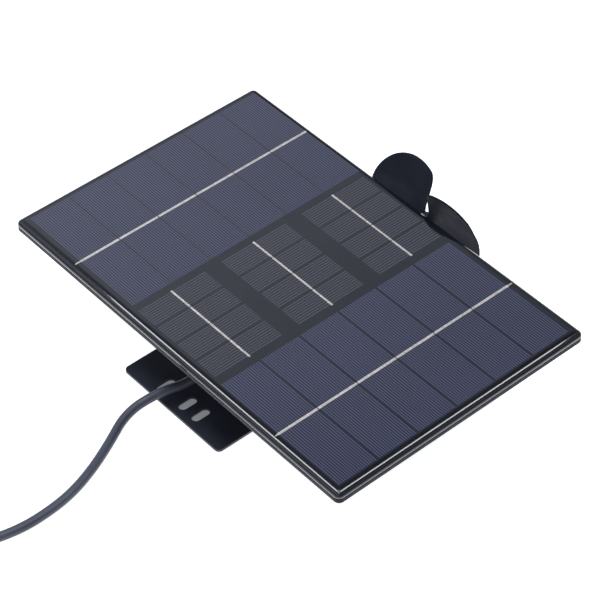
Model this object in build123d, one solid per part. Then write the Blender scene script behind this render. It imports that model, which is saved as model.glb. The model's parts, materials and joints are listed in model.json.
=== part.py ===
from build123d import *
import math
import os

# A small solar fan unit: a flat solar panel on a slotted bracket, with a motor-driven propeller
# beyond the panel's far edge and an output lead leaving under its near edge.
# +Z is up, X runs along the panel's long side, -Y is the near side, where the lead leaves.
# Z = 0 is the underside of the base plate. Lengths are in millimetres.

# Driving dimensions: the panel
PANEL_LENGTH = 259.4
PANEL_WIDTH = 166.0
PANEL_CORNER = 3.3
PANEL_TOP = 60.0
FACE_THICK = 3.3
FACE_ROUND = 2.4
SEAM_THICK = 0.4
SEAM_INSET = 0.9
BACK_THICK = 3.2
BACK_ROUND = 0.9
BACK_TOP_ROUND = 0.5
CELL_THICK = 0.3
RIBBON_THICK = 0.06

# Driving dimensions: cells
ARRAY_LENGTH = 88.0
ARRAY_INNER_X = 36.5
STRIP_COUNT = 6
STRIP_PITCH = 26.06
CELL_GAP = 1.0
LEFT_ARRAY_Y = 1.4
RIGHT_ARRAY_Y = -0.7
MODULE_PITCH = 55.2
MODULE_HEIGHT = 44.2
MODULE_CELLS = 4
MODULE_CELL_PITCH = 15.9
MODULE_X = -0.6
ARRAY_RIBBON = 1.5
MODULE_RIBBON = 1.15
RIBBON_GAP = 0.5
TAB_WIDTH = 0.8
NEAR_TAB_LEFT_Y = -80.0
NEAR_TAB_RIGHT_Y = -80.2
FAR_TAB_RIGHT_Y = 79.9
ARRAY_SHIFT_X = -0.2
MODULE_SHIFT_Y = 0.3

# Driving dimensions: the base plate and its slots
PLATE_CENTRE_X = -11.8
PLATE_LENGTH = 79.2
PLATE_NEAR_Y = -75.7
PLATE_DEPTH = 121.2
PLATE_THICK = 1.5
PLATE_CORNER = 3.0
SLOT_X = (-27.0, -9.1, 1.7)
SLOT_NEAR_Y = -66.0
SLOT_LENGTH = 11.2
SLOT_WIDTH = 5.2

# Driving dimensions: the riser bracket
RISER_SPAN = 50.0
RISER_NEAR_Y = -2.0
RISER_DEPTH = 27.0
RISER_SHEET = 1.5
RISER_FLANGE = 12.0
SCREW_R = 1.5
SCREW_HEAD_R = 2.8
SCREW_HEAD_H = 1.6
SCREW_GRIP = 2.2
SCREW_EDGE = 7.0
BASE_SCREW_EDGE = 10.0
SCREW_CROSS = (2.8, 0.6, 0.8)
BASE_SCREW_PROUD = 3.2

# Driving dimensions: the motor and propeller, whose axis runs along Y
FAN_X = 1.0
FAN_Z = 41.3
FAN_R = 39.8
FAN_PLANE_Y = 91.9
BLADE_COUNT = 3
BLADE_PHASE = 20.8
BLADE_PITCH = 14.0
BLADE_ROOT_R = 3.5
BLADE_ROOT_HALF = 3.0
BLADE_WIDEST_R = 20.9
BLADE_HALF_CHORD = 25.0
BLADE_ROOT_SLOPE = 0.83
BLADE_THICK = 1.3
BLADE_CAMBER_R = 150.0
BLADE_LIFT = 2.0
HUB_R = 4.6
HUB_BACK_Y = 87.0
HUB_FRONT_Y = 97.0
SHAFT_R = 0.75
BUSH_BORE_R = 0.79
SHAFT_BACK_Y = 60.5
SHAFT_FRONT_Y = 99.5
CAN_R = 7.0
CAN_WALL = 0.5
CAN_BACK_Y = 62.0
CAN_FRONT_Y = 84.0
BUSH_R = 2.0
BUSH_LENGTH = 3.0
MAGNET_INNER_R = 5.2
CORE_R = 4.7

# Driving dimensions: terminal box, gland and lead
BOX_CENTRE_X = -14.5
BOX_SIZE = (34.0, 28.0, 17.0)
BOX_NEAR_Y = -40.0
BOX_WALL = 1.6
LID_THICK = 2.0
LEAD_R = 2.6
LEAD_Z = 10.2
GLAND_LENGTH = 14.0
GLAND_R = 4.6
CONDUIT_R = 2.4
MOTOR_LEAD_R = 0.9
MOTOR_LEAD_Z = 52.1

FACE_BOTTOM = PANEL_TOP - FACE_THICK
BACK_TOP = FACE_BOTTOM - SEAM_THICK
BACK_BOTTOM = BACK_TOP - BACK_THICK
EXIT_Y = BOX_NEAR_Y - GLAND_LENGTH

os.makedirs("parts", exist_ok=True)


def save(shape, name):
    export_step(shape, os.path.join("parts", name + ".step"))


def block(x0, x1, y0, y1, z0, z1):
    solid = Box(x1 - x0, y1 - y0, z1 - z0)
    return Pos((x0 + x1) / 2, (y0 + y1) / 2, (z0 + z1) / 2) * solid


def slab(length, width, corner, z0, z1, x=0.0, y=0.0):
    outline = RectangleRounded(length, width, corner)
    return Pos(x, y, z0) * extrude(outline, z1 - z0)


def along_y(radius, y0, y1, x=FAN_X, z=FAN_Z):
    rod = Cylinder(radius, y1 - y0)
    return Pos(x, (y0 + y1) / 2, z) * (Rot(90, 0, 0) * rod)


def ring_y(outer, inner, y0, y1, x=FAN_X, z=FAN_Z):
    return along_y(outer, y0, y1, x, z) - along_y(inner, y0, y1, x, z)


def upright(radius, x, y, z0, z1):
    return Pos(x, y, (z0 + z1) / 2) * Cylinder(radius, z1 - z0)


def strip_rows(centre_y):
    first = centre_y - STRIP_PITCH * (STRIP_COUNT - 1) / 2
    return [first + STRIP_PITCH * i for i in range(STRIP_COUNT)]


def module_columns():
    first = MODULE_X - MODULE_CELL_PITCH * (MODULE_CELLS - 1) / 2
    return [first + MODULE_CELL_PITCH * i for i in range(MODULE_CELLS)]


def cell_tile(x, y, length, width):
    z0 = PANEL_TOP - CELL_THICK
    return block(x - length / 2, x + length / 2, y - width / 2, y + width / 2, z0, PANEL_TOP)


def ribbon_tile(x, y, length, width):
    z1 = PANEL_TOP + RIBBON_THICK
    return block(x - length / 2, x + length / 2, y - width / 2, y + width / 2, PANEL_TOP, z1)


# ---- Panel cells and their ribbons ----
ARRAY_X = ARRAY_INNER_X + ARRAY_LENGTH / 2
ARRAY_REACH = (STRIP_PITCH * STRIP_COUNT - RIBBON_GAP) / 2
TABS = (
    (-1, NEAR_TAB_LEFT_Y, LEFT_ARRAY_Y - ARRAY_REACH),
    (1, NEAR_TAB_RIGHT_Y, RIGHT_ARRAY_Y - ARRAY_REACH),
    (1, RIGHT_ARRAY_Y + ARRAY_REACH, FAR_TAB_RIGHT_Y),
)
cell_groups = {}
ribbon_groups = {}
for side, x, y in (("left", ARRAY_SHIFT_X - ARRAY_X, LEFT_ARRAY_Y),
                   ("right", ARRAY_SHIFT_X + ARRAY_X, RIGHT_ARRAY_Y)):
    rows = strip_rows(y)
    cell_groups[side + "_array_cells"] = [cell_tile(x, r, ARRAY_LENGTH, STRIP_PITCH - CELL_GAP) for r in rows]
    reach = STRIP_PITCH - RIBBON_GAP
    ribbon_groups[side + "_array_ribbon"] = [ribbon_tile(x, r, ARRAY_RIBBON, reach) for r in rows]
for side, y0, y1 in TABS:
    tab = ribbon_tile(side * ARRAY_X + ARRAY_SHIFT_X, (y0 + y1) / 2, TAB_WIDTH, y1 - y0)
    ribbon_groups["left_array_ribbon" if side < 0 else "right_array_ribbon"].append(tab)
for name, step in (("near", -1), ("middle", 0), ("far", 1)):
    y = step * MODULE_PITCH + MODULE_SHIFT_Y
    columns = module_columns()
    width = MODULE_CELL_PITCH - CELL_GAP
    cell_groups[name + "_module_cells"] = [cell_tile(c, y, width, MODULE_HEIGHT) for c in columns]
    reach = MODULE_CELL_PITCH - RIBBON_GAP
    ribbon_groups[name + "_module_ribbon"] = [ribbon_tile(c, y, reach, MODULE_RIBBON) for c in columns]

# ---- Panel body: potted gloss face, seam seal and back shell ----
face = slab(PANEL_LENGTH, PANEL_WIDTH, PANEL_CORNER, FACE_BOTTOM, PANEL_TOP)
face = fillet(face.faces().sort_by(Axis.Z)[-1].edges(), FACE_ROUND)
for tiles in cell_groups.values():
    for tile in tiles:
        face = face - tile
save(face, "resin_face")
for groups in (cell_groups, ribbon_groups):
    for name, tiles in groups.items():
        save(Compound(children=tiles), name)

seal_length = PANEL_LENGTH - 2 * SEAM_INSET
seal_width = PANEL_WIDTH - 2 * SEAM_INSET
seal = slab(seal_length, seal_width, PANEL_CORNER - SEAM_INSET, BACK_TOP, FACE_BOTTOM)
SEAL_BAND = 6.0
seal = seal - slab(seal_length - 2 * SEAL_BAND, seal_width - 2 * SEAL_BAND, 2.0, BACK_TOP, FACE_BOTTOM)
save(seal, "edge_seal")

back = slab(PANEL_LENGTH, PANEL_WIDTH, PANEL_CORNER, BACK_BOTTOM, BACK_TOP)
back = fillet(back.faces().sort_by(Axis.Z)[0].edges(), BACK_ROUND)
back = fillet(back.faces().sort_by(Axis.Z)[-1].edges(), BACK_TOP_ROUND)
BOARD_POCKET = 2.2
BOARD_X = -85.0
BOARD_HALF_X = 30.0
BOARD_HALF_Y = 16.0
BOARD_THICK = 0.8
POCKET_MARGIN = 2.0
pocket_x = BOARD_HALF_X + POCKET_MARGIN
pocket_y = BOARD_HALF_Y + POCKET_MARGIN
back = back - block(BOARD_X - pocket_x, BOARD_X + pocket_x, -pocket_y, pocket_y,
                    BACK_TOP - BOARD_POCKET, BACK_TOP)

# Four screws hold the riser's top flanges to the back shell
riser_x0 = PLATE_CENTRE_X - RISER_SPAN / 2
riser_x1 = PLATE_CENTRE_X + RISER_SPAN / 2
riser_y1 = RISER_NEAR_Y + RISER_DEPTH
flange_screws = []
for x in (riser_x0 - RISER_FLANGE / 2, riser_x1 + RISER_FLANGE / 2):
    for y in (RISER_NEAR_Y + SCREW_EDGE, riser_y1 - SCREW_EDGE):
        flange_screws.append((x, y))
under_flange = BACK_BOTTOM - RISER_SHEET
panel_screws = []
for x, y in flange_screws:
    shank = upright(SCREW_R, x, y, under_flange, BACK_BOTTOM + SCREW_GRIP)
    head = upright(SCREW_HEAD_R, x, y, under_flange - SCREW_HEAD_H, under_flange)
    cross = Pos(x, y, under_flange - SCREW_HEAD_H + SCREW_CROSS[2] / 2) * Box(*SCREW_CROSS)
    back = back - upright(SCREW_R, x, y, BACK_BOTTOM, BACK_BOTTOM + SCREW_GRIP)
    panel_screws.append(shank + head - cross)
save(Compound(children=panel_screws), "panel_screws")

# Motor cradle screws and the hole for the wires
CRADLE_Y0 = 66.0
CRADLE_Y1 = 80.0
CRADLE_EAR = 6.0
CRADLE_SHEET = 1.2
CRADLE_SCREW_R = 1.0
CRADLE_HEAD_R = 1.9
CRADLE_HEAD_H = 1.2
cradle_x = [FAN_X - CAN_R - CRADLE_SHEET - CRADLE_EAR / 2, FAN_X + CAN_R + CRADLE_SHEET + CRADLE_EAR / 2]
cradle_screw_y = (CRADLE_Y0 + CRADLE_Y1) / 2
for x in cradle_x:
    back = back - upright(CRADLE_SCREW_R, x, cradle_screw_y, BACK_BOTTOM, BACK_BOTTOM + SCREW_GRIP)
save(back, "back_shell")

board_top = BACK_TOP - BOARD_POCKET + BOARD_THICK
board = block(BOARD_X - BOARD_HALF_X, BOARD_X + BOARD_HALF_X, -BOARD_HALF_Y, BOARD_HALF_Y,
              BACK_TOP - BOARD_POCKET, board_top)
save(board, "circuit_board")
DIODE_X = BOARD_X - 9.5
DIODE_LENGTH = 5.0
DIODE_WIDTH = 4.0
DIODE_HEIGHT = 1.2
diode = block(DIODE_X - DIODE_LENGTH / 2, DIODE_X + DIODE_LENGTH / 2, -DIODE_WIDTH / 2, DIODE_WIDTH / 2,
              board_top, board_top + DIODE_HEIGHT)
save(diode, "blocking_diode")

# ---- Base plate with two rows of slots ----
plate_centre_y = PLATE_NEAR_Y + PLATE_DEPTH / 2
SLOT_FAR_Y = 2 * plate_centre_y - SLOT_NEAR_Y
plate = slab(PLATE_LENGTH, PLATE_DEPTH, PLATE_CORNER, 0, PLATE_THICK, PLATE_CENTRE_X, plate_centre_y)
slot_cut = extrude(SlotOverall(SLOT_LENGTH, SLOT_WIDTH, rotation=90), PLATE_THICK)
for x in SLOT_X:
    for y in (SLOT_NEAR_Y, SLOT_FAR_Y):
        plate = plate - Pos(x, y, 0) * slot_cut
base_screw_places = []
for x in (riser_x0 + BASE_SCREW_EDGE, riser_x1 - BASE_SCREW_EDGE):
    for y in (RISER_NEAR_Y + SCREW_EDGE, riser_y1 - SCREW_EDGE):
        base_screw_places.append((x, y))
base_screws = []
NUT_ACROSS = 5.0
NUT_H = 2.2
base_nuts = []
flange_top = PLATE_THICK + RISER_SHEET
COUNTERSINK_R = 2.6
for x, y in base_screw_places:
    plate = plate - upright(SCREW_R, x, y, 0, PLATE_THICK)
    sink = Pos(x, y, PLATE_THICK / 2) * Cone(COUNTERSINK_R, SCREW_R, PLATE_THICK)
    plate = plate - sink
    base_screws.append(sink + upright(SCREW_R, x, y, PLATE_THICK, flange_top + BASE_SCREW_PROUD))
    nut = Pos(x, y, flange_top) * extrude(RegularPolygon(NUT_ACROSS / 2, 6, major_radius=False), NUT_H)
    base_nuts.append(nut - upright(SCREW_R, x, y, flange_top, flange_top + NUT_H))
save(Compound(children=base_screws), "riser_screws")
save(Compound(children=base_nuts), "riser_nuts")
save(plate, "base_plate")

# ---- Riser: a channel of bent sheet between the base plate and the panel ----
riser = block(riser_x0, riser_x1, RISER_NEAR_Y, riser_y1, PLATE_THICK, flange_top)
for x0, x1 in ((riser_x0, riser_x0 + RISER_SHEET), (riser_x1 - RISER_SHEET, riser_x1)):
    riser = riser + block(x0, x1, RISER_NEAR_Y, riser_y1, PLATE_THICK, BACK_BOTTOM)
for x0, x1 in ((riser_x0 - RISER_FLANGE, riser_x0), (riser_x1, riser_x1 + RISER_FLANGE)):
    riser = riser + block(x0, x1 + (RISER_SHEET if x0 < riser_x0 else 0), RISER_NEAR_Y, riser_y1,
                          under_flange, BACK_BOTTOM)
for x, y in base_screw_places:
    riser = riser - upright(SCREW_R, x, y, PLATE_THICK, flange_top)
for x, y in flange_screws:
    riser = riser - upright(SCREW_R, x, y, under_flange, BACK_BOTTOM)
save(riser, "riser_bracket")

# ---- Motor: can, end bell, bushes, magnets, brushes ----
can = along_y(CAN_R, CAN_BACK_Y, CAN_FRONT_Y)
CAN_NOSE = 0.8
BUSH_PROUD = 1.0
BELL_DEPTH = 2.0
REAR_PROUD = 0.5
can = fillet(can.edges().group_by(Axis.Y)[-1], CAN_NOSE)
can = can - along_y(CAN_R - CAN_WALL, CAN_BACK_Y, CAN_FRONT_Y - CAN_NOSE)
can = can - along_y(BUSH_R, CAN_FRONT_Y - CAN_NOSE, CAN_FRONT_Y)
save(can, "motor_can")
bell = ring_y(CAN_R - CAN_WALL, BUSH_R, CAN_BACK_Y, CAN_BACK_Y + BELL_DEPTH)
save(bell, "motor_end_bell")
front_bush = ring_y(BUSH_R, BUSH_BORE_R, CAN_FRONT_Y - BUSH_LENGTH + BUSH_PROUD, CAN_FRONT_Y + BUSH_PROUD)
save(front_bush, "front_bush")
rear_bush = ring_y(BUSH_R, BUSH_BORE_R, CAN_BACK_Y - REAR_PROUD, CAN_BACK_Y + BUSH_LENGTH - REAR_PROUD)
save(rear_bush, "rear_bush")
CORE_Y0 = CAN_BACK_Y + 8.5
CORE_Y1 = CAN_FRONT_Y - 4.0
magnet_ring = ring_y(CAN_R - CAN_WALL, MAGNET_INNER_R, CORE_Y0, CORE_Y1)
MAGNET_GAP = 3.0
magnet_ring = magnet_ring - block(FAN_X - CAN_R, FAN_X + CAN_R, CORE_Y0, CORE_Y1,
                                  FAN_Z - MAGNET_GAP / 2, FAN_Z + MAGNET_GAP / 2)
save(Compound(children=list(magnet_ring.solids())), "magnets")
COMM_R = 1.5
COMM_Y0 = CAN_BACK_Y + 3.4
COMM_LENGTH = 2.6
BRUSH_SIDE = 1.2
BRUSH_GAP = 0.1
BRUSH_HOLDER_GAP = 0.2
brush_y = COMM_Y0 + COMM_LENGTH / 2
brushes = []
for side in (-1, 1):
    outer_reach = CAN_R - CAN_WALL - BRUSH_HOLDER_GAP
    x0, x1 = sorted((FAN_X + side * (COMM_R + BRUSH_GAP), FAN_X + side * outer_reach))
    brushes.append(block(x0, x1, brush_y - BRUSH_SIDE / 2, brush_y + BRUSH_SIDE / 2,
                         FAN_Z - BRUSH_SIDE / 2, FAN_Z + BRUSH_SIDE / 2))
save(Compound(children=brushes), "brushes")

# ---- Rotor: shaft, laminated core, windings, commutator ----
shaft = along_y(SHAFT_R, SHAFT_BACK_Y, SHAFT_FRONT_Y)
save(shaft, "motor_shaft")
core = ring_y(CORE_R, SHAFT_R, CORE_Y0, CORE_Y1)
windings = []
POLE_COUNT = 3
SLOT_FLOOR_R = 2.0
SLOT_HALF = 1.0
WINDING_GAP = 0.1
WINDING_INSET = 0.3
for i in range(POLE_COUNT):
    turn = 60 + 360 / POLE_COUNT * i
    slot = block(SLOT_FLOOR_R, CORE_R + 1, CORE_Y0, CORE_Y1, -SLOT_HALF, SLOT_HALF)
    place = Pos(FAN_X, 0, FAN_Z) * Rot(0, turn, 0)
    core = core - place * slot
    coil_half = SLOT_HALF - WINDING_GAP
    windings.append(place * block(SLOT_FLOOR_R + WINDING_GAP, CORE_R - WINDING_INSET, CORE_Y0 + WINDING_INSET,
                                  CORE_Y1 - WINDING_INSET, -coil_half, coil_half))
save(core, "rotor_core")
save(Compound(children=windings), "rotor_windings")
commutator = ring_y(COMM_R, SHAFT_R, COMM_Y0, COMM_Y0 + COMM_LENGTH)
save(commutator, "commutator")

# ---- Motor cradle: a strap round the motor, screwed to the back shell ----
strap_r = CAN_R + CRADLE_SHEET
strap = along_y(strap_r, CRADLE_Y0, CRADLE_Y1)
strap = strap + block(FAN_X - strap_r, FAN_X + strap_r, CRADLE_Y0, CRADLE_Y1, FAN_Z, BACK_BOTTOM)
strap = strap + block(FAN_X - strap_r - CRADLE_EAR, FAN_X + strap_r + CRADLE_EAR, CRADLE_Y0, CRADLE_Y1,
                      BACK_BOTTOM - CRADLE_SHEET, BACK_BOTTOM)
strap = strap - along_y(CAN_R, CRADLE_Y0, CRADLE_Y1)
cradle_screws = []
for x in cradle_x:
    z1 = BACK_BOTTOM - CRADLE_SHEET
    strap = strap - upright(CRADLE_SCREW_R, x, cradle_screw_y, z1, BACK_BOTTOM)
    screw = upright(CRADLE_SCREW_R, x, cradle_screw_y, z1, BACK_BOTTOM + SCREW_GRIP)
    cradle_screws.append(screw + upright(CRADLE_HEAD_R, x, cradle_screw_y, z1 - CRADLE_HEAD_H, z1))
save(strap, "motor_cradle")
save(Compound(children=cradle_screws), "cradle_screws")

# ---- Propeller: three broad petal blades on a round hub ----
CIRCLE_PULL = 0.57
PRISM_HALF = 12.0


def petal():
    # Outline: slim at the root, widest about half way out, round at the tip
    reach = (BLADE_WIDEST_R - BLADE_ROOT_R) / 3
    cap = (FAN_R - BLADE_WIDEST_R) * CIRCLE_PULL
    edges = []
    for side in (1, -1):
        root = (BLADE_ROOT_R, side * BLADE_ROOT_HALF)
        lift = (BLADE_ROOT_R + reach, side * (BLADE_ROOT_HALF + BLADE_ROOT_SLOPE * reach))
        level = (BLADE_WIDEST_R - reach, side * BLADE_HALF_CHORD)
        wide = (BLADE_WIDEST_R, side * BLADE_HALF_CHORD)
        shoulder = (BLADE_WIDEST_R + cap, side * BLADE_HALF_CHORD)
        brow = (FAN_R, side * BLADE_HALF_CHORD * CIRCLE_PULL)
        edges.append(Bezier(root, lift, level, wide))
        edges.append(Bezier(wide, shoulder, brow, (FAN_R, 0)))
    edges.append(Line((BLADE_ROOT_R, -BLADE_ROOT_HALF), (BLADE_ROOT_R, BLADE_ROOT_HALF)))
    return make_face(Curve() + edges)


def blade():
    # A cambered sheet: the petal outline cut from a thin shell bowed across the chord
    outer = Rot(0, 90, 0) * Cylinder(BLADE_CAMBER_R + BLADE_THICK / 2, 3 * FAN_R)
    inner = Rot(0, 90, 0) * Cylinder(BLADE_CAMBER_R - BLADE_THICK / 2, 3 * FAN_R)
    shell = Pos(0, 0, BLADE_LIFT - BLADE_CAMBER_R) * (outer - inner)
    prism = Pos(0, 0, -PRISM_HALF) * extrude(petal(), 2 * PRISM_HALF)
    return shell & prism


# Local X is radial, local Y the chord and local Z the fan's axis (row +Y)
blade_solid = Rot(BLADE_PITCH, 0, 0) * blade()
hub = along_y(HUB_R, HUB_BACK_Y, HUB_FRONT_Y)
HUB_NOSE = 1.6
hub = fillet(hub.edges().group_by(Axis.Y)[-1], HUB_NOSE)
propeller = hub
for i in range(BLADE_COUNT):
    turn = BLADE_PHASE + 360.0 / BLADE_COUNT * i
    stand = Pos(FAN_X, FAN_PLANE_Y, FAN_Z) * Rot(0, -turn, 0) * Rot(-90, 0, 0)
    propeller = propeller + stand * blade_solid
propeller = propeller - along_y(SHAFT_R, HUB_BACK_Y - 1, HUB_FRONT_Y + 1)
save(propeller, "propeller")
COLLAR_R = 2.2
COLLAR_LENGTH = 1.8
cap_nut = ring_y(COLLAR_R, SHAFT_R, HUB_FRONT_Y, HUB_FRONT_Y + COLLAR_LENGTH)
save(cap_nut, "retaining_collar")

# ---- Terminal box on the base plate ----
BOX_CORNER = 3.0
POST_R = 2.9
POST_INSET = 4.0
LID_ROUND = 0.8
LID_SCREW_R = 1.0
LID_SCREW_DEPTH = 4.0
LID_HEAD_R = 1.9
LID_HEAD_H = 1.0
GLAND_THREAD_R = 3.4
CONDUIT_INSET = 8.0
CONDUIT_WALL = 0.8
bx, by, bz = BOX_SIZE
box_x0 = BOX_CENTRE_X - bx / 2
box_x1 = BOX_CENTRE_X + bx / 2
box_y = BOX_NEAR_Y + by / 2
box_y1 = BOX_NEAR_Y + by
box_z0 = PLATE_THICK + BOX_WALL
box_z1 = PLATE_THICK + bz
lid_z1 = box_z1 + LID_THICK
body = slab(bx, by, BOX_CORNER, PLATE_THICK, box_z1, BOX_CENTRE_X, box_y)
body = body - slab(bx - 2 * BOX_WALL, by - 2 * BOX_WALL, BOX_CORNER / 2, box_z0, box_z1, BOX_CENTRE_X, box_y)
body = body - along_y(GLAND_THREAD_R, BOX_NEAR_Y - 1, BOX_NEAR_Y + BOX_WALL, BOX_CENTRE_X, LEAD_Z)
post_places = []
for x in (box_x0 + POST_INSET, box_x1 - POST_INSET):
    for y in (BOX_NEAR_Y + POST_INSET, box_y1 - POST_INSET):
        post_places.append((x, y))
        body = body + upright(POST_R, x, y, box_z0, box_z1)
conduit_y = box_y1 - CONDUIT_INSET
lid = slab(bx, by, BOX_CORNER, box_z1, lid_z1, BOX_CENTRE_X, box_y)
lid = fillet(lid.faces().sort_by(Axis.Z)[-1].edges(), LID_ROUND)
lid = lid - upright(CONDUIT_R, BOX_CENTRE_X, conduit_y, box_z1, lid_z1)
lid_screws = []
for x, y in post_places:
    shank = upright(LID_SCREW_R, x, y, box_z1 - LID_SCREW_DEPTH, lid_z1 - LID_HEAD_H)
    head = upright(LID_HEAD_R, x, y, lid_z1 - LID_HEAD_H, lid_z1)
    body = body - shank
    lid = lid - shank - head
    lid_screws.append(shank + head)
save(body, "terminal_box")
save(lid, "terminal_box_lid")
save(Compound(children=lid_screws), "lid_screws")
TERMINAL_SIZE = (18.0, 6.0, 8.0)
terminal = Pos(BOX_CENTRE_X, box_y, box_z0 + TERMINAL_SIZE[2] / 2) * Box(*TERMINAL_SIZE)
save(terminal, "terminal_block")
conduit = upright(CONDUIT_R, BOX_CENTRE_X, conduit_y, box_z1, BACK_BOTTOM)
conduit = conduit - upright(CONDUIT_R - CONDUIT_WALL, BOX_CENTRE_X, conduit_y, box_z1, BACK_BOTTOM)
save(conduit, "wire_conduit")

# ---- Gland and tapered boot round the lead ----
GLAND_NUT = 4.0
gland_nut_y = BOX_NEAR_Y - GLAND_NUT
gland = Pos(BOX_CENTRE_X, BOX_NEAR_Y, LEAD_Z) * Rot(90, 0, 0) * extrude(
    RegularPolygon(GLAND_R, 6, major_radius=False), GLAND_NUT)
gland = gland + along_y(GLAND_THREAD_R, BOX_NEAR_Y, BOX_NEAR_Y + BOX_WALL + 1.0, BOX_CENTRE_X, LEAD_Z)
gland = gland - along_y(LEAD_R, gland_nut_y - 1, BOX_NEAR_Y + 5, BOX_CENTRE_X, LEAD_Z)
save(gland, "cable_gland")
boot_length = gland_nut_y - EXIT_Y
boot = Cone(LEAD_R + 0.7, GLAND_R - 0.6, boot_length)
boot = Pos(BOX_CENTRE_X, gland_nut_y - boot_length / 2, LEAD_Z) * Rot(-90, 0, 0) * boot
boot = boot - along_y(LEAD_R, EXIT_Y - 1, gland_nut_y + 1, BOX_CENTRE_X, LEAD_Z)
save(boot, "cable_boot")
lead_core = along_y(LEAD_R, EXIT_Y, BOX_NEAR_Y + 4.0, BOX_CENTRE_X, LEAD_Z)
save(lead_core, "lead_inner_end")

# ---- Motor lead, held against the panel's back from the motor to the conduit ----
motor_route = [
    (FAN_X, CAN_BACK_Y, FAN_Z + 4.0),
    (FAN_X, CAN_BACK_Y - 5.0, FAN_Z + 4.0),
    (FAN_X - 2.0, CAN_BACK_Y - 12.0, MOTOR_LEAD_Z),
    (BOX_CENTRE_X + 6.0, 10.0, MOTOR_LEAD_Z),
    (BOX_CENTRE_X, conduit_y + CONDUIT_R + 0.2, MOTOR_LEAD_Z),
]


def corner_radii(points, share=0.45):
    radii = []
    for a, b, c in zip(points, points[1:], points[2:]):
        run_in = Vector(*b) - Vector(*a)
        run_out = Vector(*c) - Vector(*b)
        half = math.radians(run_in.get_angle(run_out)) / 2
        radii.append(share * min(run_in.length, run_out.length) / math.tan(half))
    return radii


def tube(points, radius):
    radii = corner_radii(points)
    path = FilletPolyline(*points, radius=radii)
    ring = Plane(origin=path @ 0, z_dir=path % 0) * Circle(radius)
    return sweep(ring, path=path)


save(tube(motor_route, MOTOR_LEAD_R), "motor_lead")

# ---- Output lead: from the boot, over the plate's edge, down to the surface and away ----
LEAD_ROUTE = [
    (BOX_CENTRE_X, EXIT_Y, LEAD_Z),
    (BOX_CENTRE_X, -64.5, LEAD_Z),
    (-18.3, -74.5, 10.1),
    (-23.4, -95.0, 4.6),
    (-12.6, -116.0, LEAD_R),
    (-4.6, -133.0, LEAD_R),
    (0.8, -149.0, LEAD_R),
    (3.1, -165.0, LEAD_R),
    (3.0, -183.0, LEAD_R),
    (-2.0, -202.0, LEAD_R),
    (-13.5, -218.5, LEAD_R),
]
lead = tube(LEAD_ROUTE, LEAD_R)
save(lead, "output_lead")

# ---- The rest of the lead, put away in a round coil, and its plug ----
COIL_TURN_OUT = 33.0
COIL_TURN_IN = 27.5
COIL_LAYERS = 4
COIL_LAYER_RISE = 5.4
COIL_SLACK = 0.3
COIL_AHEAD = 12.0
coil_height = (COIL_LAYERS - 1) * COIL_LAYER_RISE + 2 * LEAD_R + COIL_SLACK
coil_outer = COIL_TURN_OUT + LEAD_R + COIL_SLACK
coil_inner = COIL_TURN_IN - LEAD_R - COIL_SLACK
end = Vector(*LEAD_ROUTE[-1])
run = (end - Vector(*LEAD_ROUTE[-2])).normalized()
side = Vector(run.Y, -run.X, 0)
coil_centre = end + side * COIL_TURN_OUT + run * COIL_AHEAD
coil = Cylinder(coil_outer, coil_height) - Cylinder(coil_inner, coil_height)
save(Pos(coil_centre.X, coil_centre.Y, coil_height / 2) * coil, "lead_coil")

# The tail leaves the coil's top turn and comes down beside it to the plug
PLUG_R = 4.6
TAIL_TOP = LEAD_R + (COIL_LAYERS - 1) * COIL_LAYER_RISE
TAIL_STEPS = [
    (-4.0, -33.0, TAIL_TOP),
    (-19.0, -33.8, TAIL_TOP - 0.8),
    (-35.0, -36.0, 9.6),
    (-50.0, -37.5, PLUG_R + 0.5),
    (-62.0, -38.0, PLUG_R),
]
tail_route = [(coil_centre.X + dx, coil_centre.Y + dy, z) for dx, dy, z in TAIL_STEPS]
save(tube(tail_route, LEAD_R), "lead_tail")

# The plug: a tapered neck and grip with a barrel contact, lying on the surface
PLUG_GRIP = 24.0
PLUG_NECK = 9.0
BARREL_R = 2.75
BARREL_BORE_R = 1.05
BARREL_LENGTH = 9.5
neck = Cone(LEAD_R + 0.5, PLUG_R, PLUG_NECK)
grip = Cylinder(PLUG_R, PLUG_GRIP)
grip = fillet(grip.edges().group_by(Axis.Z)[-1], 0.8)
plug = Pos(0, 0, PLUG_NECK / 2) * neck + Pos(0, 0, PLUG_NECK + PLUG_GRIP / 2) * grip
barrel = Cylinder(BARREL_R, BARREL_LENGTH) - Cylinder(BARREL_BORE_R, BARREL_LENGTH)
barrel = Pos(0, 0, PLUG_NECK + PLUG_GRIP + BARREL_LENGTH / 2) * barrel
plug_place = Pos(*tail_route[-1]) * Rot(0, -90, 0)
save(plug_place * plug, "plug_grip")
save(plug_place * barrel, "plug_barrel")
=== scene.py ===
import bpy
import json
import math
from mathutils import Matrix, Vector


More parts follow.
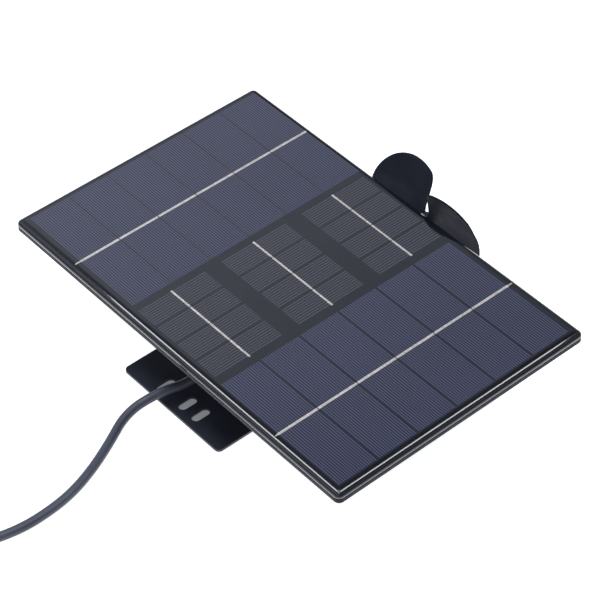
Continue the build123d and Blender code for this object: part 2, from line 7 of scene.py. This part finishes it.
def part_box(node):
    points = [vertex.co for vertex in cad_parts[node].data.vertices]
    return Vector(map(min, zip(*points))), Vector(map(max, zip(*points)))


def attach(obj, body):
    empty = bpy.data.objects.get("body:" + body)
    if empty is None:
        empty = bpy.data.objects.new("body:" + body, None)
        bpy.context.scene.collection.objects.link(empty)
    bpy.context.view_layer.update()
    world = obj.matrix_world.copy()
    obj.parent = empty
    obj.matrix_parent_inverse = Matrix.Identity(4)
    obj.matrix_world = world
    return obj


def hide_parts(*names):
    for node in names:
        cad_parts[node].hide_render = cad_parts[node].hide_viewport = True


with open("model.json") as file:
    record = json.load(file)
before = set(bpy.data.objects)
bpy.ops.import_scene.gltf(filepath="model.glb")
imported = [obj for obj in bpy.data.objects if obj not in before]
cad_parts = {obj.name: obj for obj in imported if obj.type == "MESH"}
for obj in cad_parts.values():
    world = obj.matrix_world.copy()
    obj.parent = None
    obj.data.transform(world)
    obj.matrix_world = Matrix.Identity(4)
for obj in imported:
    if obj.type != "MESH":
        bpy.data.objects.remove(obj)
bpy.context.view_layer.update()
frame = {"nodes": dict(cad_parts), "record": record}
scene = bpy.context.scene
scene.view_settings.view_transform = "Standard"

MM = 0.001
FRAME_BODY = "frame"
FAN_BODY = "fan_rotor"

# ---------------------------------------------------------------- places taken from the frame
face_lo, face_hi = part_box("resin_face")
PANEL_TOP = face_hi.z
fan_joint = next(j for j in frame["record"]["behaviour"]["joints"] if j["name"] == "fan_spin")
FAN_AXIS = Vector(fan_joint["pos_m"])
coil_lo, coil_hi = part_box("lead_coil")
COIL_CENTRE = (coil_lo + coil_hi) / 2


# ---------------------------------------------------------------- camera
CAMERA_PLACE = Vector((0.7097, -0.5929, 0.9526))
CAMERA_AZIMUTH = math.radians(49.90)
CAMERA_ELEVATION = math.radians(44.59)
CAMERA_ROLL = math.radians(-1.10)
FOCAL_MM = 148.83
SENSOR_MM = 36.0


def add_camera():
    data = bpy.data.cameras.new("camera")
    data.lens = FOCAL_MM
    data.sensor_width = SENSOR_MM
    data.clip_start = 0.05
    camera = bpy.data.objects.new("camera", data)
    scene.collection.objects.link(camera)
    level = math.cos(CAMERA_ELEVATION)
    forward = Vector((-math.sin(CAMERA_AZIMUTH) * level, math.cos(CAMERA_AZIMUTH) * level,
                      -math.sin(CAMERA_ELEVATION)))
    right = forward.cross(Vector((0, 0, 1))).normalized()
    up = right.cross(forward)
    turned = right * math.cos(CAMERA_ROLL) + up * math.sin(CAMERA_ROLL)
    up = turned.cross(forward)
    axes = Matrix((turned, up, -forward)).transposed()
    camera.matrix_world = Matrix.Translation(CAMERA_PLACE) @ axes.to_4x4()
    scene.camera = camera


add_camera()


# ---------------------------------------------------------------- material kit
class Shader:
    """A procedural material with short calls for the nodes that the finishes share."""

    def __init__(self, name, colour, roughness, **fixed):
        self.material = bpy.data.materials.new(name)
        self.material.use_nodes = True
        self.tree = self.material.node_tree
        self.bsdf = self.tree.nodes["Principled BSDF"]
        self.bsdf.inputs["Base Color"].default_value = (*colour, 1)
        self.bsdf.inputs["Roughness"].default_value = roughness
        for socket, value in fixed.items():
            self.bsdf.inputs[socket.replace("_", " ")].default_value = value
        self.place = self.add("ShaderNodeTexCoord").outputs["Object"]

    def add(self, kind, **settings):
        node = self.tree.nodes.new(kind)
        for key, value in settings.items():
            setattr(node, key, value)
        return node

    def join(self, source, target):
        self.tree.links.new(source, target)

    def noise(self, scale, detail=4.0, stretch=(1, 1, 1)):
        mapping = self.add("ShaderNodeMapping")
        mapping.inputs["Scale"].default_value = stretch
        self.join(self.place, mapping.inputs["Vector"])
        node = self.add("ShaderNodeTexNoise")
        node.inputs["Scale"].default_value = scale
        node.inputs["Detail"].default_value = detail
        self.join(mapping.outputs["Vector"], node.inputs["Vector"])
        return node.outputs["Fac"]

    def spread(self, value, low, high, from_low=0.3, from_high=0.7):
        node = self.add("ShaderNodeMapRange")
        for socket, number in (("From Min", from_low), ("From Max", from_high),
                               ("To Min", low), ("To Max", high)):
            node.inputs[socket].default_value = number
        self.join(value, node.inputs["Value"])
        return node.outputs["Result"]

    def math(self, operation, a, b=None):
        node = self.add("ShaderNodeMath", operation=operation)
        for socket, value in ((node.inputs[0], a), (node.inputs[1], b)):
            if value is None:
                continue
            if isinstance(value, (int, float)):
                socket.default_value = value
            else:
                self.join(value, socket)
        return node.outputs[0]

    def blend(self, amount, low, high):
        node = self.add("ShaderNodeMix", data_type="RGBA")
        self.join(amount, node.inputs[0])
        for socket, value in ((node.inputs[6], low), (node.inputs[7], high)):
            if isinstance(value, tuple):
                socket.default_value = (*value, 1)
            else:
                self.join(value, socket)
        return node.outputs[2]

    def colour(self, value):
        self.join(value, self.bsdf.inputs["Base Color"])

    def rough(self, value):
        self.join(value, self.bsdf.inputs["Roughness"])

    def bump(self, height, depth, strength=1.0):
        node = self.add("ShaderNodeBump")
        node.inputs["Distance"].default_value = depth
        node.inputs["Strength"].default_value = strength
        self.join(height, node.inputs["Height"])
        self.join(node.outputs["Normal"], self.bsdf.inputs["Normal"])


def gloss_resin():
    s = Shader("gloss_resin", (0.012, 0.0125, 0.015), 0.2, Specular_IOR_Level=0.05, Coat_Weight=1.0,
               Coat_Roughness=0.05, Coat_IOR=1.5)
    s.colour(s.blend(s.spread(s.noise(35), 0, 1), (0.005, 0.006, 0.009), (0.009, 0.010, 0.014)))
    s.rough(s.spread(s.noise(60, 6), 0.15, 0.3))
    return s.material


FINGER_WIDTH = 0.14
ARRAY_FINGER_PITCH = 1.37 * MM
MODULE_FINGER_PITCH = 1.6 * MM
ARRAY_FINGER_GLOW = 0.056
MODULE_FINGER_GLOW = 0.052


def silicon(name, dark, light, finger_axis, pitch, finger_glow):
    """Cells under clear resin: fine printed fingers along one axis and a soft drift of tone."""
    s = Shader(name, dark, 0.34, Specular_IOR_Level=0.08, Coat_Weight=1.0, Coat_Roughness=0.015, Coat_IOR=1.5)
    split = s.add("ShaderNodeSeparateXYZ")
    s.join(s.place, split.inputs[0])
    across = split.outputs["Y" if finger_axis == "X" else "X"]
    phase = s.math("FRACT", s.math("MULTIPLY", across, 1 / pitch))
    ridge = s.math("ABSOLUTE", s.math("SUBTRACT", phase, 0.5))
    finger = s.spread(ridge, 1, 0, FINGER_WIDTH * 0.5, FINGER_WIDTH * 1.6)
    tone = s.blend(s.spread(s.noise(14, 3), 0, 1), dark, light)
    grain = s.spread(s.noise(900, 2), 0.92, 1.08)
    grained = s.add("ShaderNodeMix", data_type="RGBA", blend_type="MULTIPLY")
    grained.inputs[0].default_value = 1.0
    s.join(tone, grained.inputs[6])
    s.join(grain, grained.inputs[7])
    line = tuple(c + finger_glow for c in light)
    s.colour(s.blend(finger, grained.outputs[2], line))
    s.rough(s.spread(s.noise(240, 3), 0.28, 0.42))
    s.bump(finger, 0.00002, 0.3)
    return s.material


def ribbon_metal():
    s = Shader("ribbon_metal", (0.80, 0.80, 0.78), 0.3, Metallic=0.85, Coat_Weight=1.0, Coat_Roughness=0.02)
    s.colour(s.blend(s.spread(s.noise(500, 3), 0, 1), (0.54, 0.50, 0.44), (0.80, 0.75, 0.66)))
    s.rough(s.spread(s.noise(700, 4), 0.24, 0.5))
    s.bump(s.noise(900, 3), 0.00003, 0.5)
    return s.material


def moulded(name, colour, roughness, grain, depth, shine=0.5):
    """Moulded plastic or powder coat: a fine grain, with patches slightly glossier than others."""
    s = Shader(name, colour, roughness, Specular_IOR_Level=shine)
    lighter = tuple(c * 1.35 for c in colour)
    s.colour(s.blend(s.spread(s.noise(60, 5), 0, 1), colour, lighter))
    s.rough(s.spread(s.noise(180, 5), roughness - 0.06, roughness + 0.08))
    s.bump(s.noise(grain, 4), depth, 0.5)
    return s.material


def metal(name, low, high, roughness, stretch):
    s = Shader(name, low, roughness, Metallic=1.0)
    streak = s.noise(400, 5, stretch)
    s.colour(s.blend(s.spread(streak, 0, 1), low, high))
    s.rough(s.spread(streak, roughness - 0.07, roughness + 0.1))
    s.bump(streak, 0.00002, 0.35)
    return s.material


def lead_jacket():
    s = Shader("lead_jacket", (0.045, 0.052, 0.070), 0.42, Specular_IOR_Level=0.4)
    s.colour(s.blend(s.spread(s.noise(70, 5), 0, 1), (0.040, 0.047, 0.064), (0.052, 0.060, 0.080)))
    s.rough(s.spread(s.noise(220, 4), 0.36, 0.5))
    s.bump(s.noise(1400, 3), 0.00003, 0.4)
    return s.material


def solder_mask():
    s = Shader("solder_mask", (0.02, 0.12, 0.05), 0.3, Coat_Weight=0.6, Coat_Roughness=0.1)
    s.colour(s.blend(s.spread(s.noise(700, 1), 0, 1, 0.45, 0.55), (0.015, 0.10, 0.04), (0.03, 0.16, 0.07)))
    return s.material


FINISHES = {
    "gloss_resin": gloss_resin(),
    "array_cells": silicon("array_silicon", (0.007, 0.010, 0.031), (0.012, 0.016, 0.044),
                           "X", ARRAY_FINGER_PITCH, ARRAY_FINGER_GLOW),
    "module_cells": silicon("module_silicon", (0.006, 0.007, 0.015), (0.010, 0.011, 0.020),
                            "Y", MODULE_FINGER_PITCH, MODULE_FINGER_GLOW),
    "ribbon": ribbon_metal(),
    "seal_rubber": moulded("seal_rubber", (0.02, 0.02, 0.022), 0.6, 900, 0.00006),
    "black_shell": moulded("black_shell", (0.010, 0.011, 0.016), 0.42, 700, 0.00004, 0.12),
    "black_steel": moulded("black_powder_coat", (0.024, 0.027, 0.038), 0.38, 1500, 0.00005),
    "fan_plastic": moulded("fan_plastic", (0.018, 0.020, 0.030), 0.45, 1100, 0.00001, 0.05),
    "motor_steel": metal("plated_steel", (0.42, 0.42, 0.43), (0.62, 0.62, 0.63), 0.28, (1, 0.05, 1)),
    "brass": metal("turned_brass", (0.55, 0.39, 0.16), (0.74, 0.56, 0.26), 0.3, (1, 1, 0.1)),
    "copper": metal("bare_copper", (0.52, 0.20, 0.09), (0.72, 0.33, 0.18), 0.32, (1, 0.05, 1)),
    "magnet": moulded("sintered_magnet", (0.06, 0.06, 0.065), 0.45, 900, 0.00005),
    "board": solder_mask(),
    "fastener": metal("black_zinc", (0.045, 0.045, 0.05), (0.09, 0.09, 0.1), 0.34, (1, 1, 1)),
    "lead_jacket": lead_jacket(),
}


def finish_node(node):
    slot_name = next(s["material_slot"] for s in frame["record"]["subparts"] if s["node"] == node)
    mesh = frame["nodes"][node]
    for holder in mesh.material_slots:
        holder.material = FINISHES[slot_name]
    if not mesh.material_slots:
        mesh.data.materials.append(FINISHES[slot_name])


for node_name in frame["nodes"]:
    finish_node(node_name)


# ---------------------------------------------------------------- mesh kit
def add_mesh(name, points, faces, finish, body, smooth=True):
    data = bpy.data.meshes.new(name)
    data.from_pydata([tuple(p) for p in points], [], faces)
    data.validate()
    piece = bpy.data.objects.new(name, data)
    scene.collection.objects.link(piece)
    for face in data.polygons:
        face.use_smooth = smooth
    data.materials.append(FINISHES[finish])
    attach(piece, body)
    return piece


def lathe(name, profile, start, along, finish, body, sides=48):
    """Turns a profile of (distance along, radius) round the axis that leaves start in the direction along."""
    along = Vector(along).normalized()
    first = along.orthogonal().normalized()
    second = along.cross(first)
    points = []
    for distance, radius in profile:
        for i in range(sides):
            turn = math.tau * i / sides
            out = first * math.cos(turn) + second * math.sin(turn)
            points.append(Vector(start) + along * distance + out * max(radius, 1e-6))
    faces = []
    for row in range(len(profile) - 1):
        for i in range(sides):
            j = (i + 1) % sides
            faces.append((row * sides + i, row * sides + j, (row + 1) * sides + j, (row + 1) * sides + i))
    faces.append(tuple(reversed(range(sides))))
    last = (len(profile) - 1) * sides
    faces.append(tuple(range(last, last + sides)))
    piece = add_mesh(name, points, faces, finish, body)
    piece.data.polygons[len(faces) - 1].use_smooth = False
    piece.data.polygons[len(faces) - 2].use_smooth = False
    return piece


# ---------------------------------------------------------------- potted face
CORNER_R = 3.3 * MM
FACE_THICK = 3.3
RIM_REACH = 4.6
RIM_DROP = 2.7
RIM_STEPS = 22
FLAT_DROP = 0.02
RIM_PROFILE = [(0.0, FACE_THICK)] + [
    (RIM_REACH * (1 - math.cos(math.pi / 2 * i / RIM_STEPS)),
     FLAT_DROP + (RIM_DROP - FLAT_DROP) * (1 - math.sin(math.pi / 2 * i / RIM_STEPS)))
    for i in range(RIM_STEPS + 1)]
CORNER_STEPS = 10


def rim_loop(inset):
    """Points round the panel's outline, drawn in by inset, each with the same number at every inset."""
    loop = []
    half_x = (face_hi.x - face_lo.x) / 2
    half_y = (face_hi.y - face_lo.y) / 2
    corners = ((half_x, half_y, 0), (-half_x, half_y, 90), (-half_x, -half_y, 180), (half_x, -half_y, 270))
    radius = max(CORNER_R - inset, 0.35 * MM)
    for x, y, first in corners:
        hub_x = math.copysign(half_x - inset - radius, x)
        hub_y = math.copysign(half_y - inset - radius, y)
        for i in range(CORNER_STEPS + 1):
            turn = math.radians(first + 90 * i / CORNER_STEPS)
            loop.append(Vector((hub_x + radius * math.cos(turn), hub_y + radius * math.sin(turn), 0)))
    return loop


def add_panel_face():
    """The potting's domed rim: upright at the seam, then easing over a few millimetres into the flat face."""
    points = []
    for inset, drop in RIM_PROFILE:
        points += [p + Vector((0, 0, PANEL_TOP - drop * MM)) for p in rim_loop(inset * MM)]
    around = len(points) // len(RIM_PROFILE)
    faces = []
    for row in range(len(RIM_PROFILE) - 1):
        for i in range(around):
            j = (i + 1) % around
            faces.append((row * around + i, row * around + j, (row + 1) * around + j, (row + 1) * around + i))
    last = (len(RIM_PROFILE) - 1) * around
    faces.append(tuple(range(last, last + around)))
    faces.append(tuple(reversed(range(around))))
    piece = add_mesh("panel_face", points, faces, "gloss_resin", FRAME_BODY)
    for flat in (len(faces) - 1, len(faces) - 2):
        piece.data.polygons[flat].use_smooth = False
    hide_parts("resin_face")


add_panel_face()


# ---------------------------------------------------------------- output lead
LEAD_R = 2.6 * MM
EXIT = (-14.5, -54.0, 10.2)
FREE_ROUTE = [
    (-14.5, -40.0, 10.2),
    EXIT,
    (-14.5, -64.5, 10.2),
    (-18.3, -74.5, 10.1),
    (-23.4, -95.0, 4.6),
    (-12.6, -116.0, 2.6),
    (-4.6, -133.0, 2.6),
    (0.8, -149.0, 2.6),
    (3.1, -165.0, 2.6),
    (3.0, -183.0, 2.6),
    (-2.0, -202.0, 2.6),
    (-13.5, -218.5, 2.6),
]
TAIL_STEPS = [
    (-19.0, -33.8, 18.0),
    (-35.0, -36.0, 9.6),
    (-50.0, -37.5, 5.1),
    (-62.0, -38.0, 4.6),
    (-66.0, -38.0, 4.6),
]
COIL_START = math.radians(-34.9)
COIL_TURNS = 7.15
COIL_POINTS = 14
TURN_RADII = (33.0, 27.5, 27.5, 33.0)
LAYER_RISE = 5.4
CROSSING = 0.8


def coil_points():
    """Two turns to a layer, wound in and then out again, clockwise from above, a diameter apart."""
    points = []
    for step in range(1, int(COIL_TURNS * COIL_POINTS) + 1):
        turns = step / COIL_POINTS
        whole = int(turns)
        share = max(0.0, (turns - whole - CROSSING) / (1 - CROSSING))
        ease = share * share * (3 - 2 * share)
        radius = TURN_RADII[whole % 4] * (1 - ease) + TURN_RADII[(whole + 1) % 4] * ease
        layer = (whole // 2) * (1 - ease) + ((whole + 1) // 2) * ease
        angle = COIL_START - math.tau * turns
        points.append((COIL_CENTRE.x / MM + radius * math.cos(angle),
                       COIL_CENTRE.y / MM + radius * math.sin(angle),
                       LEAD_R / MM + LAYER_RISE * layer))
    return points


def add_lead():
    tail = [(COIL_CENTRE.x / MM + dx, COIL_CENTRE.y / MM + dy, z) for dx, dy, z in TAIL_STEPS]
    route = FREE_ROUTE + coil_points() + tail
    data = bpy.data.curves.new("lead", "CURVE")
    data.dimensions = "3D"
    line = data.splines.new("NURBS")
    line.points.add(len(route) - 1)
    for point, place in zip(line.points, route):
        point.co = (*(Vector(place) * MM), 1)
    line.order_u = 3
    line.use_endpoint_u = True
    data.resolution_u = 8
    data.bevel_depth = LEAD_R
    data.bevel_resolution = 7
    data.use_fill_caps = True
    data.materials.append(FINISHES["lead_jacket"])
    piece = bpy.data.objects.new("lead", data)
    scene.collection.objects.link(piece)
    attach(piece, FRAME_BODY)
    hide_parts("output_lead", "lead_inner_end", "lead_coil", "lead_tail")
    return piece


def add_boot():
    """The tapered strain relief: a collar, then rings that step down to the jacket."""
    lo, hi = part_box("cable_boot")
    reach = (hi.y - lo.y) / MM
    profile = [(0.0, 2.2), (0.0, 3.95), (0.8, 4.15), (1.8, 4.1)]
    rings = 4
    for i in range(rings):
        start = 2.1 + (reach - 2.7) * i / rings
        wide = 3.95 - 0.28 * i
        profile += [(start, wide - 0.45), (start + 0.5, wide - 0.45),
                    (start + 0.7, wide), (start + 1.5, wide - 0.08)]
    profile += [(reach - 0.2, 2.95), (reach, 2.7), (reach, 2.2)]
    profile = [(d * MM, r * MM) for d, r in profile]
    start = ((lo.x + hi.x) / 2, hi.y, (lo.z + hi.z) / 2)
    piece = lathe("lead_boot", profile, start, (0, -1, 0), "lead_jacket", FRAME_BODY)
    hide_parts("cable_boot")
    return piece


def add_plug():
    """Moulded plug grip: a ribbed neck, a waisted body and a shoulder before the barrel."""
    lo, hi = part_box("plug_grip")
    profile = [(0.0, 2.3), (0.0, 3.1), (0.5, 3.4)]
    for i in range(4):
        start = 1.2 + 1.9 * i
        wide = 3.5 + 0.25 * i
        profile += [(start, wide - 0.4), (start + 0.6, wide - 0.4), (start + 0.8, wide), (start + 1.6, wide)]
    profile += [(9.2, 4.35), (11.0, 4.58), (14.0, 4.55), (21.0, 4.1), (28.0, 4.5), (31.5, 4.58), (32.6, 4.3),
                (33.0, 3.8), (33.0, 2.8)]
    profile = [(d * MM, r * MM) for d, r in profile]
    start = (hi.x, (lo.y + hi.y) / 2, (lo.z + hi.z) / 2)
    piece = lathe("plug_body", profile, start, (-1, 0, 0), "lead_jacket", FRAME_BODY)
    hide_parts("plug_grip")
    return piece


def coil_crossings(turn):
    """Where the coil's centre line passes through the upright half plane at this angle, in mm."""
    found = []
    places = coil_points()
    cx, cy = COIL_CENTRE.x / MM, COIL_CENTRE.y / MM
    for p, q in zip(places, places[1:]):
        start = math.remainder(math.atan2(p[1] - cy, p[0] - cx) - turn, math.tau)
        end = math.remainder(math.atan2(q[1] - cy, q[0] - cx) - turn, math.tau)
        if start >= 0 > end and start - end < math.pi / 2:
            share = start / (start - end)
            x, y, z = (m + (n - m) * share for m, n in zip(p, q))
            found.append((math.hypot(x - cx, y - cy), z))
    return found


TIE_TURNS = (0.9, 3.6)
TIE_HALF_WIDTH = 1.5
TIE_THICK = 0.7
TIE_SINK = 0.1
TIE_STEPS = 40
TIE_FLOOR = 0.05


def add_coil_ties():
    """Two flat ties pulled tight round the coil's bundle."""
    for number, turn in enumerate(TIE_TURNS):
        out = Vector((math.cos(turn), math.sin(turn), 0))
        across = Vector((-math.sin(turn), math.cos(turn), 0))
        held = coil_crossings(turn)
        points = []
        for i in range(TIE_STEPS):
            angle = math.tau * i / TIE_STEPS
            c, s = math.cos(angle), math.sin(angle)
            r, z = max(held, key=lambda place: place[0] * c + place[1] * s)
            for side in (-TIE_HALF_WIDTH, TIE_HALF_WIDTH):
                for reach, floor in ((TIE_THICK, TIE_FLOOR), (0, TIE_FLOOR + TIE_SINK)):
                    wide = LEAD_R / MM + reach - TIE_SINK
                    height = max(z + wide * s, floor)
                    points.append(Vector((COIL_CENTRE.x, COIL_CENTRE.y, 0))
                                  + (out * (r + wide * c) + across * side) * MM + Vector((0, 0, height * MM)))
        faces = []
        for i in range(TIE_STEPS):
            a = 4 * i
            b = 4 * ((i + 1) % TIE_STEPS)
            faces += [(a, a + 2, b + 2, b), (a + 1, b + 1, b + 3, a + 3), (a, b, b + 1, a + 1),
                      (a + 2, a + 3, b + 3, b + 2)]
        add_mesh("coil_tie_%d" % (number + 1), points, faces, "fan_plastic", FRAME_BODY)


lead = add_lead()
boot = add_boot()
plug = add_plug()
add_coil_ties()


# ---------------------------------------------------------------- propeller
HUB_R = 4.6
FAN_R = 39.8
BLADE_START = 3.5
ROOT_HALF = 3.0
ROOT_SLOPE = 0.83
WIDEST_AT = 20.9
HALF_CHORD = 25.0
CAMBER_R = 150.0
CAMBER_LIFT = 2.0
BLADE_PITCH = math.radians(14)
BLADE_PHASE = 20.8
BLADE_HALF_THICK = 0.5
RIM_SWELL = 0.16
BEAD_IN = 1.3
BEAD_WIDTH = 0.7
EDGE_ROUND = 1.2
TIP_POWER = 2.15
BLADES = 3
BLADE_ROWS = 44
BLADE_COLUMNS = 36
HUB_LENGTH = 10.0


def half_chord(x):
    """Slim at the root, widest near two thirds out, round at the tip."""
    if x > WIDEST_AT:
        out = (x - WIDEST_AT) / (FAN_R - WIDEST_AT)
        return HALF_CHORD * math.sqrt(max(0.0, 1 - out ** TIP_POWER))
    t = (x - BLADE_START) / (WIDEST_AT - BLADE_START)
    reach = WIDEST_AT - BLADE_START
    return ((2 * t ** 3 - 3 * t ** 2 + 1) * ROOT_HALF + (t ** 3 - 2 * t ** 2 + t) * ROOT_SLOPE * reach
            + (3 * t ** 2 - 2 * t ** 3) * HALF_CHORD)


def blade_points(rows, columns, turn):
    """Top and bottom skins of one blade, thinner at its edge but with a slim bead just inside it."""
    skins = ([], [])
    spin = Matrix.Rotation(-turn, 3, "Y")
    tilt = Matrix.Rotation(BLADE_PITCH, 3, "X")
    stand = Matrix.Rotation(math.radians(-90), 3, "X")
    for i in range(rows + 1):
        s = i / rows
        x = BLADE_START + (FAN_R - BLADE_START) * math.sin(s * math.pi / 2)
        chord = max(half_chord(x), 0.02)
        for j in range(columns + 1):
            c = -math.cos(math.pi * j / columns)
            y = chord * c
            camber = math.sqrt(CAMBER_R ** 2 - y * y) - CAMBER_R + CAMBER_LIFT
            edge = min(1.0, chord * (1 - abs(c)) / EDGE_ROUND, (FAN_R - x) / EDGE_ROUND)
            round_off = math.sqrt(max(0.0, 1 - (1 - edge) ** 2))
            near = math.exp(-((chord * (1 - abs(c)) - BEAD_IN) / BEAD_WIDTH) ** 2)
            half = (BLADE_HALF_THICK + RIM_SWELL * near) * round_off
            for skin, side in zip(skins, (1, -1)):
                local = tilt @ Vector((x, y, camber + side * half))
                skin.append(FAN_AXIS + spin @ (stand @ local) * MM)
    return skins


def add_blade(number):
    rows, columns = BLADE_ROWS, BLADE_COLUMNS
    top, bottom = blade_points(rows, columns, math.radians(BLADE_PHASE + 360 * number / BLADES))
    points = top + bottom
    base = len(top)
    width = columns + 1
    faces = []
    for i in range(rows):
        for j in range(columns):
            a = i * width + j
            faces.append((a, a + 1, a + width + 1, a + width))
            faces.append((base + a, base + a + width, base + a + width + 1, base + a + 1))
    for i in range(rows):
        for j in (0, columns):
            a = i * width + j
            ring = (a, a + width, base + a + width, base + a)
            faces.append(ring if j == 0 else tuple(reversed(ring)))
    for j in range(columns):
        faces.append((j, base + j, base + j + 1, j + 1))
        a = rows * width + j
        faces.append((a, a + 1, base + a + 1, base + a))
    add_mesh("propeller_blade_%d" % (number + 1), points, faces, "fan_plastic", FAN_BODY)


def add_propeller():
    for number in range(BLADES):
        add_blade(number)
    profile = [(0.0, 0.9), (0.0, HUB_R - 0.4), (0.4, HUB_R), (2.2, HUB_R), (2.5, HUB_R - 0.3),
               (3.0, HUB_R - 0.3), (3.3, HUB_R), (7.2, HUB_R), (8.3, HUB_R - 0.25), (9.1, HUB_R - 0.8),
               (9.7, HUB_R - 1.6),
               (9.95, HUB_R - 2.4), (HUB_LENGTH, 0.9)]
    start = Vector((FAN_AXIS.x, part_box("retaining_collar")[0].y - HUB_LENGTH * MM, FAN_AXIS.z))
    profile = [(d * MM, r * MM) for d, r in profile]
    hub = lathe("propeller_hub", profile, start, (0, 1, 0), "fan_plastic", FAN_BODY)
    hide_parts("propeller")


add_propeller()


# ---------------------------------------------------------------- stage and light
def add_card(name, x0, x1, y0, y1, z, colour, glow):
    data = bpy.data.meshes.new(name)
    data.from_pydata([(x0, y0, z), (x1, y0, z), (x1, y1, z), (x0, y1, z)], [], [(0, 1, 2, 3)])
    card = bpy.data.objects.new(name, data)
    scene.collection.objects.link(card)
    s = Shader(name + "_card", colour, 0.9, Specular_IOR_Level=0.0, Emission_Strength=glow)
    s.bsdf.inputs["Emission Color"].default_value = (1, 1, 1, 1)
    data.materials.append(s.material)


FLOOR_REACH = 60.0
FLOOR_COLOUR = (0.6, 0.6, 0.6)
FLOOR_GLOW = 0.92
# The slot_shade card is painted shadow: a dim grey sheet standing in for the plate's contact shadow, seen
# only through the slots.
SHADE_MARGIN = 3 * MM
SHADE_HEIGHT = 0.1 * MM
SHADE_COLOUR = (0.22, 0.228, 0.26)
SHADE_GLOW = 0.15


def add_floor():
    """A pale floor, with a grey card of painted shadow under the base plate, standing in for its contact
    shadow where the slots look down.
    """
    add_card("floor", -FLOOR_REACH, FLOOR_REACH, -FLOOR_REACH, FLOOR_REACH, 0, FLOOR_COLOUR, FLOOR_GLOW)
    plate_lo, plate_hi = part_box("base_plate")
    # painted shadow card under the base plate
    add_card("slot_shade", plate_lo.x + SHADE_MARGIN, plate_hi.x - SHADE_MARGIN, plate_lo.y + SHADE_MARGIN,
             plate_hi.y - SHADE_MARGIN, SHADE_HEIGHT, SHADE_COLOUR, SHADE_GLOW)


RIM_TILT = math.radians(21)
RIM_LIGHT_AWAY = 1.3
RIM_LIGHT_WIDTH = 0.24
RIM_LIGHT_LENGTH = 0.40
RIM_LIGHT_POWER = 3.8
NEAR_LIGHT_X = 0.062
RIGHT_LIGHT_Y = -0.025


def add_rim_light(name, spot, outward, along):
    """A long softbox placed where the rim, tilted outward by RIM_TILT, mirrors it to the camera."""
    spot = Vector(spot)
    normal = Vector((0, 0, 1)) * math.cos(RIM_TILT) + Vector(outward) * math.sin(RIM_TILT)
    sight = (CAMERA_PLACE - spot).normalized()
    mirrored = 2 * sight.dot(normal) * normal - sight
    data = bpy.data.lights.new(name, "AREA")
    data.shape = "RECTANGLE"
    data.size = RIM_LIGHT_LENGTH
    data.size_y = RIM_LIGHT_WIDTH
    data.energy = RIM_LIGHT_POWER
    box = bpy.data.objects.new(name, data)
    scene.collection.objects.link(box)
    side = (Vector(along) - mirrored * mirrored.dot(Vector(along))).normalized()
    axes = Matrix((side, mirrored.cross(side), mirrored)).transposed()
    box.matrix_world = Matrix.Translation(spot + mirrored * RIM_LIGHT_AWAY) @ axes.to_4x4()


# Height on the unit sphere and brightness there, light at the horizon to keep low views plain.
SKY_LEVELS = ((0.0, 0.9), (0.11, 0.9), (0.15, 0.14), (0.30, 0.12), (0.50, 0.50), (0.60, 0.78), (0.70, 0.74),
              (0.755, 0.40), (0.80, 0.14), (0.90, 0.16), (0.94, 3.8), (1.0, 3.8))
SKY_COLOUR = (0.93, 0.97, 1.12, 1)
SIDE_SHADE = 0.40
SIDE_REACH = 0.16
CAMERA_RIGHT = (math.cos(CAMERA_AZIMUTH), math.sin(CAMERA_AZIMUTH), 0.0)


def light_studio():
    """A sky with a dim band under a bright top, a little brighter to the left, and two rim lights."""
    world = bpy.data.worlds.new("studio")
    scene.world = world
    world.use_nodes = True
    tree = world.node_tree
    sky = tree.nodes["Background"]
    place = tree.nodes.new("ShaderNodeTexCoord")
    split = tree.nodes.new("ShaderNodeSeparateXYZ")
    ramp = tree.nodes.new("ShaderNodeFloatCurve")
    curve = ramp.mapping.curves[0]
    top = max(level for _, level in SKY_LEVELS)
    curve.points[0].location = (SKY_LEVELS[0][0], SKY_LEVELS[0][1] / top)
    curve.points[1].location = (SKY_LEVELS[-1][0], SKY_LEVELS[-1][1] / top)
    for height, level in SKY_LEVELS[1:-1]:
        curve.points.new(height, level / top)
    ramp.mapping.update()
    sideways = tree.nodes.new("ShaderNodeVectorMath")
    sideways.operation = "DOT_PRODUCT"
    sideways.inputs[1].default_value = CAMERA_RIGHT
    tilt = tree.nodes.new("ShaderNodeMapRange")
    tilt.interpolation_type = "SMOOTHSTEP"
    for socket, value in (("From Min", -SIDE_REACH), ("From Max", SIDE_REACH),
                          ("To Min", top * (1 + SIDE_SHADE)), ("To Max", top * (1 - SIDE_SHADE))):
        tilt.inputs[socket].default_value = value
    level = tree.nodes.new("ShaderNodeMath")
    level.operation = "MULTIPLY"
    tree.links.new(place.outputs["Generated"], split.inputs[0])
    tree.links.new(place.outputs["Generated"], sideways.inputs[0])
    tree.links.new(split.outputs["Z"], ramp.inputs["Value"])
    tree.links.new(sideways.outputs["Value"], tilt.inputs["Value"])
    tree.links.new(ramp.outputs[0], level.inputs[0])
    tree.links.new(tilt.outputs["Result"], level.inputs[1])
    tree.links.new(level.outputs[0], sky.inputs["Strength"])
    sky.inputs["Color"].default_value = SKY_COLOUR
    add_rim_light("near_rim_light", (NEAR_LIGHT_X, face_lo.y, PANEL_TOP), (0, -1, 0), (1, 0, 0))
    add_rim_light("right_rim_light", (face_hi.x, RIGHT_LIGHT_Y, PANEL_TOP), (1, 0, 0), (0, 1, 0))


add_floor()
light_studio()
